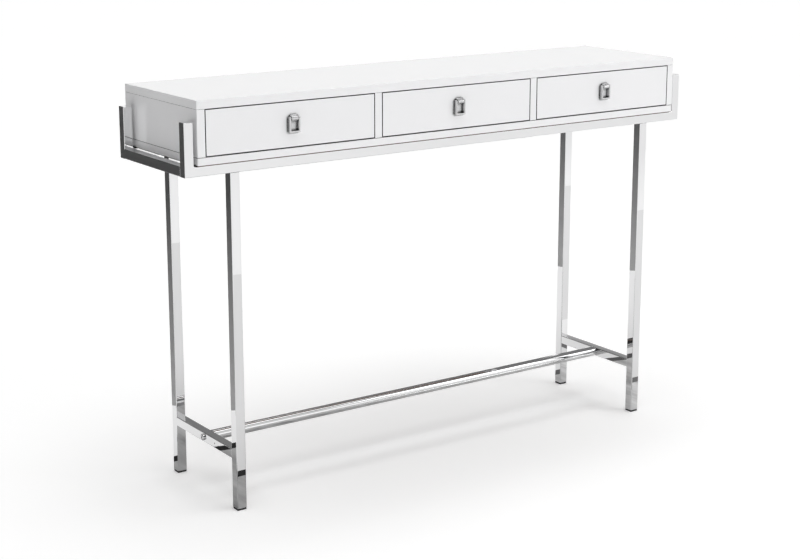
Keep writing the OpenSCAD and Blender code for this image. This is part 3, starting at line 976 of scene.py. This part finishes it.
class TABLE_OT_fasteners(bpy.types.Operator):
    """Builds the bolts, screws, inserts and dowels"""

    bl_idname = "table.fasteners"
    bl_label = "Fasteners"

    def execute(self, context):
        sizes = context.scene.table_sizes
        wall = sizes.tube_wall
        rail_low, rail_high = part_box("front_rail")
        first_leg = extent("front_left_leg")[2]
        last_leg = extent("rear_right_leg")[2]
        legs_middle = (first_leg + last_leg) / 2
        legs_span = last_leg - first_leg
        on_legs = dict(columns=2, rows=2, width=legs_span.x, depth=legs_span.y)
        insert_ease, slug_ease = 0.4 * MM, 0.5 * MM

        low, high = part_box("leg_bolts")
        seat = rail_low.z + wall
        bolt = cap_bolt(2 * (high.x - last_leg.x), high.z - seat, seat - low.z, 4 * MM, 0.8 * MM)
        rows_of("leg_bolt_set", bolt, "zinc_steel", ["leg_bolts"], **on_legs,
                place=(*legs_middle.xy, seat), twist=math.pi / 3, seed=3)

        low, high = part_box("leg_inserts")
        half, height = high.x - last_leg.x, high.z - low.z
        block = eased_block("insert", Vector((-half, -half, 0)), Vector((half, half, height)),
                            insert_ease)
        thread_bore(block, -MM, height + MM)
        rows_of("leg_insert_set", block, "zinc_steel", ["leg_inserts"], **on_legs,
                place=(*legs_middle.xy, low.z))

        low, high, middle = extent("cross_bar_bolts")
        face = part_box("right_stretcher")[1].x
        bolt = cap_bolt(high.z - low.z, high.x - face, 35 * MM, 2.5 * MM, 2.2 * MM)
        rows_of("cross_bar_bolt_pair", bolt, "chrome", ["cross_bar_bolts"], columns=2,
                width=2 * face, place=(0, *middle.yz), splay=QUARTER, twist=0.4, seed=5)

        low, high, _ = extent("cross_bar_inserts")
        depth, radius = 20 * MM, (high.z - low.z) / 2
        slug = lathe("slug", [
            (radius - slug_ease, -depth), (radius, slug_ease - depth), (radius, -slug_ease),
            (radius - slug_ease, 0)], 48)
        thread_bore(slug, -depth - MM, MM)
        rows_of("cross_bar_insert_pair", slug, "zinc_steel", ["cross_bar_inserts"], columns=2,
                width=high.x - low.x, place=(0, *middle.yz), splay=QUARTER)

        low, high, middle = extent("case_screws")
        under = rail_high.z - wall
        screw = pan_screw(sizes.screw_head, under - low.z, high.z - under)
        rows_of("case_screw_set", screw, "zinc_steel", ["case_screws"], columns=3, rows=2,
                width=high.x - low.x - sizes.screw_head, depth=high.y - low.y - sizes.screw_head,
                place=(*middle.xy, under), twist=math.pi, seed=7)

        self.dowels()
        for bay in BAYS:
            self.pull_screw(bay)
        return {"FINISHED"}

    def dowels(self):
        """Fluted dowels, each pair in line in the top and the bottom of an upright."""
        low, high, middle = extent("panel_dowels")
        radius, length, ease = 4 * MM, 29 * MM, 0.8 * MM

        def flutes(angle):
            """Reach of sixteen shallow flutes at an angle, as a share of the radius."""
            return 1 - 0.05 * (0.5 + 0.5 * math.cos(16 * angle))

        def dowel(name, z0):
            """Dowel that stands on a height."""
            profile = [(radius - ease, z0), (radius, z0 + ease), (radius, z0 + length - ease),
                       (radius - ease, z0 + length)]
            return lathe(name, profile, 64, {1: flutes, 2: flutes})

        pair = [dowel("dowel", low.z), dowel("upper", high.z - length)]
        join(pair)
        rows_of("dowel_set", pair[0], "dowel_wood", ["panel_dowels"], columns=4, rows=3,
                width=high.x - low.x - 2 * radius, depth=high.y - low.y - 2 * radius,
                place=(*middle.xy, 0))

    def pull_screw(self, bay):
        """Screw that holds a pull, put in from inside the drawer."""
        low, high, middle = extent(bay + "_pull_screw")
        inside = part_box(bay + "_drawer_front")[1].y
        screw = pan_screw(high.z - low.z, high.y - inside, inside - low.y, 0.9 * MM)
        turned(screw, (QUARTER, 0, 0), (middle.x, inside, middle.z))
        rows_of(bay + "_pull_fixing", screw, "zinc_steel", [bay + "_pull_screw"],
                body=bay + "_drawer")


# ---- Pulls ----
def pull_ring(name, node, bar):
    """Ring: one square bar bent to a U, with round eyes on the ends of its rod."""
    low, high, middle = extent(node)
    depth = high.y - low.y
    axis = high.z - depth / 2
    edge, fillet = 0.5 * MM, 0.9 * MM
    outline = [(u, bar / 2 - v) for u, v in round_corners(depth, bar, edge, 3)]

    def eye(side_x, inward):
        """Narrowing rings over the top of one bar, from the top down to the rod's level."""
        nearly_upright = 0.96 * QUARTER
        rings = []
        for step in range(11):
            angle = (1 - step / 10) * nearly_upright
            width = depth * math.cos(angle)
            section = round_corners(width, bar, min(edge, 0.3 * width), 3)
            flat = [(u, bar / 2 - v) for u, v in section]
            point = Vector((side_x, middle.y, axis + depth / 2 * math.sin(angle)))
            rings.append(straight_ring(flat, point, inward))
        return rings

    left_in, right_in = low.x + bar, high.x - bar
    floor = low.z + bar

    def bend(x, own, other):
        """Rings round one lower corner."""
        return [mitre_ring(outline, Vector((x, middle.y, floor)), own, other, fillet, edge,
                           step / 8 * QUARTER) for step in range(9)]

    rings = eye(left_in, RIGHTWARD) + bend(left_in, RIGHTWARD, UP)
    rings += bend(right_in, UP, -RIGHTWARD) + eye(right_in, -RIGHTWARD)[::-1]
    return loft(name, rings), Vector((middle.x, middle.y, axis))


def bracket_outline(barrel_r, plate_half, stand, plate_t, blend):
    """Side view of a pull's bracket as (y, z) points: back plate, neck and round barrel."""
    outline = []
    ease = 0.4 * MM
    for v in (-1, 1):
        part = [(stand, v * plate_half), (stand - plate_t + ease, v * plate_half),
                (stand - plate_t, v * (plate_half - ease))]
        for step in range(5):
            angle = step / 4 * QUARTER
            part.append((stand - plate_t - blend * (1 - math.cos(angle)),
                         v * (barrel_r + blend * (1 - math.sin(angle)))))
        outline.append(part)
    lower, upper = outline
    nose = []
    for step in range(1, 24):
        angle = -QUARTER - step / 24 * 2 * QUARTER
        nose.append((barrel_r * math.cos(angle), barrel_r * math.sin(angle)))
    return lower + nose + upper[::-1]


class TABLE_OT_pulls(bpy.types.Operator):
    """Builds the pulls: a fixed bracket with a barrel, and a ring that swings on its rod"""

    bl_idname = "table.pulls"
    bl_label = "Pulls"

    bar: length_setting("Ring Bar", "Thickness of a ring's bars, seen from the front",
                        3 * MM, 2 * MM, 4 * MM)
    rod: length_setting("Rod", "Diameter of the rod that a ring swings on", 4 * MM, 3 * MM, 5 * MM)
    barrel: length_setting("Barrel", "Outer diameter of the barrel round the rod",
                           9 * MM, 7 * MM, 9 * MM)

    def execute(self, context):
        for bay in BAYS:
            node = bay + "_pull_ring"
            low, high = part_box(node)
            ring, pivot = pull_ring(bay + "_ring_bow", node, self.bar)
            half = (high.x - low.x) / 2 - 0.05 * MM
            rod = lathe("rod", [(self.rod / 2, -half), (self.rod / 2, half)], 32)
            combine(ring, turned(rod, (0, QUARTER, 0), pivot), "UNION")
            settle(ring, "satin_chrome", bay + "_ring", node)
            self.bracket(bay, pivot)
        return {"FINISHED"}

    def bracket(self, bay, pivot):
        """Bracket of one pull, with its spigot in the drawer front."""
        node = bay + "_pull_bracket"
        low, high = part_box(node)
        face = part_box(bay + "_drawer_front")[0].y
        plate, blend = 2 * MM, 1.2 * MM
        outline = bracket_outline(self.barrel / 2, (high.z - low.z) / 2, face - pivot.y, plate,
                                  blend)
        ease = 0.35 * MM
        rings = [(low.x, ease), (low.x + 0.3 * ease, 0.3 * ease), (low.x + ease, 0)]
        rings += [(low.x + high.x - x, inset) for x, inset in reversed(rings)]
        body = loft(bay + "_pull_barrel", [
            [Vector((x, pivot.y + shrink(y, inset), pivot.z + shrink(z, inset)))
             for y, z in outline] for x, inset in rings])
        spigot_radius, overlap, rod_room = 3.5 * MM, 0.5 * MM, 0.08 * MM
        spigot = lathe("spigot", [(spigot_radius, -overlap), (spigot_radius, high.y - face)], 32)
        combine(body, turned(spigot, (-QUARTER, 0, 0), (pivot.x, face, pivot.z)), "UNION")
        reach, bore_radius = high.x - low.x, self.rod / 2 + rod_room
        bore = lathe("bore", [(bore_radius, -reach), (bore_radius, reach)], 32)
        combine(body, turned(bore, (0, QUARTER, 0), pivot), "DIFFERENCE")
        settle(body, "satin_chrome", bay + "_drawer", node)


def shrink(value, amount):
    """A number brought towards zero by an amount."""
    return math.copysign(max(abs(value) - amount, 0), value)


# ---- Stage ----
def floor_material(colour):
    """Pale matt floor with a faint mottle."""
    material, tree, shader = start_material("floor")
    fill(tree, shader, {
        "Base Color": tint(tree, grain(tree, 6, 3), shade(colour, 0.99), colour),
        "Roughness": 0.9, "Specular IOR Level": 0.1,
        "Emission Color": (1, 1, 1, 1), "Emission Strength": 0.2})
    return material


def card_material(name, grey, streaks=0.0, paler=1.0):
    """Matt finish of a card that only the chrome sees: streaked, and paler on the right."""
    material, tree, shader = start_material(name)
    lines = grain(tree, 30, 5, (1, 0.15, 1))
    dark, light = (shade((grey,) * 3, factor) for factor in (1 - streaks, 1 + streaks))
    across = put(tree, "ShaderNodeSeparateXYZ", {0: piece_place(tree)}).outputs["X"]
    gain = remap(tree, across, -0.4, 0.5, 1.0, paler)
    streaked = tint(tree, lines, dark, light)
    colours = put(tree, "ShaderNodeVectorMath", {0: streaked, 1: gain}, operation="MULTIPLY")
    fill(tree, shader, {"Base Color": colours.outputs[0], "Roughness": 1.0})
    return material


def fading_card():
    """Matt card that is grey at the foot and darker at the top."""
    material, tree, shader = start_material("fading_card")
    height = put(tree, "ShaderNodeSeparateXYZ", {0: piece_place(tree)}).outputs["Z"]
    fade = remap(tree, height, 0.05, 0.5, 1.0, 0.14)
    fill(tree, shader, {
        "Base Color": tint(tree, fade, (0.03,) * 3, (0.42,) * 3), "Roughness": 1.0})
    return material


def flat_piece(name, corners, material):
    """Single flat face through the given corners."""
    mesh = bpy.data.meshes.new(name)
    mesh.from_pydata(corners, [], [tuple(range(len(corners)))])
    mesh.materials.append(material)
    return add_object(name, mesh)


def far_light(name, turn, height, width, power):
    """Large soft light far away; its turn to the right, height and width are in degrees."""
    data = bpy.data.lights.new(name, "SUN")
    data.energy = power
    data.angle = math.radians(width)
    lamp = add_object(name, data)
    lamp.rotation_euler = (math.radians(90 - height), 0, math.radians(turn))
    return lamp


def level_square(x0, y0, x1, y1, z):
    """Corners of a level rectangle."""
    return [(x0, y0, z), (x1, y0, z), (x1, y1, z), (x0, y1, z)]


def area_light(name, place, target, size, power):
    """Square soft light that faces a point."""
    data = bpy.data.lights.new(name, "AREA")
    data.size = size
    data.energy = power
    lamp = add_object(name, data)
    lamp.location = place
    lamp.rotation_euler = (Vector(target) - Vector(place)).to_track_quat("-Z", "Y").to_euler()
    return lamp


def studio_world():
    """Surround: bright low down, greyer above, and dim on the left."""
    world = bpy.data.worlds.new("studio")
    world.use_nodes = True
    tree = world.node_tree
    tree.nodes.clear()
    view = put(tree, "ShaderNodeTexCoord").outputs["Generated"]
    part = put(tree, "ShaderNodeSeparateXYZ", {0: view}).outputs
    soft = {"interpolation_type": "SMOOTHSTEP"}
    height = remap(tree, part["Z"], 0.19, 0.32, 1.0, 0.22, **soft)
    side = remap(tree, part["X"], -0.6, 0.25, 0.15, 1.0, **soft)
    strength = maths(tree, "MULTIPLY", height, side)
    glow = put(tree, "ShaderNodeBackground", {"Color": (1, 1, 1, 1), "Strength": strength})
    put(tree, "ShaderNodeOutputWorld", {"Surface": glow.outputs[0]})
    return world


class TABLE_OT_stage(bpy.types.Operator):
    """Builds the floor, the soft lights, the reflected cards and the camera"""

    bl_idname = "table.stage"
    bl_label = "Stage"

    def execute(self, context):
        scene = context.scene
        settings = scene.table_stage
        reach = 60.0
        floor = flat_piece("floor", level_square(-reach, -reach, reach, reach, 0),
                           floor_material(settings.floor))
        near, far, card_top = Vector((-1.30, -0.18, 0)), Vector((-0.12, 1.17, 0)), UP * 1.6
        stand_x, stand_y0, stand_y1, rim = 0.70, -0.29, 0.17, 0.03
        cards = [
            flat_piece("left_card", [near, far, far + card_top, near + card_top], fading_card()),
            flat_piece("stand", level_square(-stand_x, stand_y0, stand_x, stand_y1, 1.5 * MM),
                       card_material("grey_card", 0.50, 0.75, 1.6)),
            flat_piece("near_floor", level_square(-1.6, -1.75, 3.5, stand_y0 - rim, 0.5 * MM),
                       card_material("near_card", 0.95)),
            flat_piece("stand_rim", level_square(-stand_x - rim, stand_y0 - rim, stand_x + rim,
                                                 stand_y1 + rim, MM),
                       card_material("black_card", 0.012, paler=16.0))]
        for card in cards:
            card.visible_camera = False
            card.visible_diffuse = False
            card.visible_shadow = False
            card.visible_transmission = False
        area_light("key", (2.3, -1.95, 1.95), (0, -0.1, 0.7), 1.3, 11)
        far_light("top", turn=0, height=88, width=70, power=2.0)
        far_light("fill", turn=20, height=30, width=50, power=0.28)
        scene.world = studio_world()
        scene.view_settings.view_transform = "Standard"
        self.camera(scene, settings)
        return {"FINISHED"}

    def camera(self, scene, settings):
        """Camera at eye height in front of the table's left end."""
        data = bpy.data.cameras.new("camera")
        data.lens = settings.lens
        data.shift_y = settings.camera_shift
        data.clip_end = 200
        camera = add_object("camera", data)
        camera.location = settings.camera_place
        camera.rotation_euler = (QUARTER - settings.camera_dip, 0, -settings.camera_turn)
        scene.camera = camera


# ---- Panel and start ----
STEPS = (TABLE_OT_case, TABLE_OT_drawers, TABLE_OT_runners, TABLE_OT_tray, TABLE_OT_legs,
         TABLE_OT_glides, TABLE_OT_stretchers, TABLE_OT_fasteners, TABLE_OT_pulls, TABLE_OT_stage)


class TABLE_PT_panel(bpy.types.Panel):
    """Lists the sizes, the finishes and the steps"""

    bl_idname = "TABLE_PT_panel"
    bl_label = "Console Table"
    bl_space_type = "VIEW_3D"
    bl_region_type = "UI"
    bl_category = "Console Table"

    def draw(self, context):
        for setting in GROUPS:
            group = getattr(context.scene, setting)
            box = self.layout.box()
            for name in group.__annotations__:
                box.prop(group, name)
        for step in STEPS:
            self.layout.operator(step.bl_idname)


GROUPS = {"table_sizes": TableSizes, "table_finishes": TableFinishes, "table_stage": StageSettings}
CLASSES = (*GROUPS.values(), *STEPS, TABLE_PT_panel)


def register():
    """Registers the classes and hangs the settings on the scene."""
    for cls in CLASSES:
        bpy.utils.register_class(cls)
    for name, group in GROUPS.items():
        setattr(bpy.types.Scene, name, bpy.props.PointerProperty(type=group))


def unregister():
    """Takes the settings and the classes away again."""
    for name in GROUPS:
        delattr(bpy.types.Scene, name)
    for cls in reversed(CLASSES):
        bpy.utils.unregister_class(cls)


def main():
    """Builds everything in order."""
    register()
    for step in STEPS:
        family, action = step.bl_idname.split(".")
        getattr(getattr(bpy.ops, family), action)()


if __name__ == "__main__":
    main()
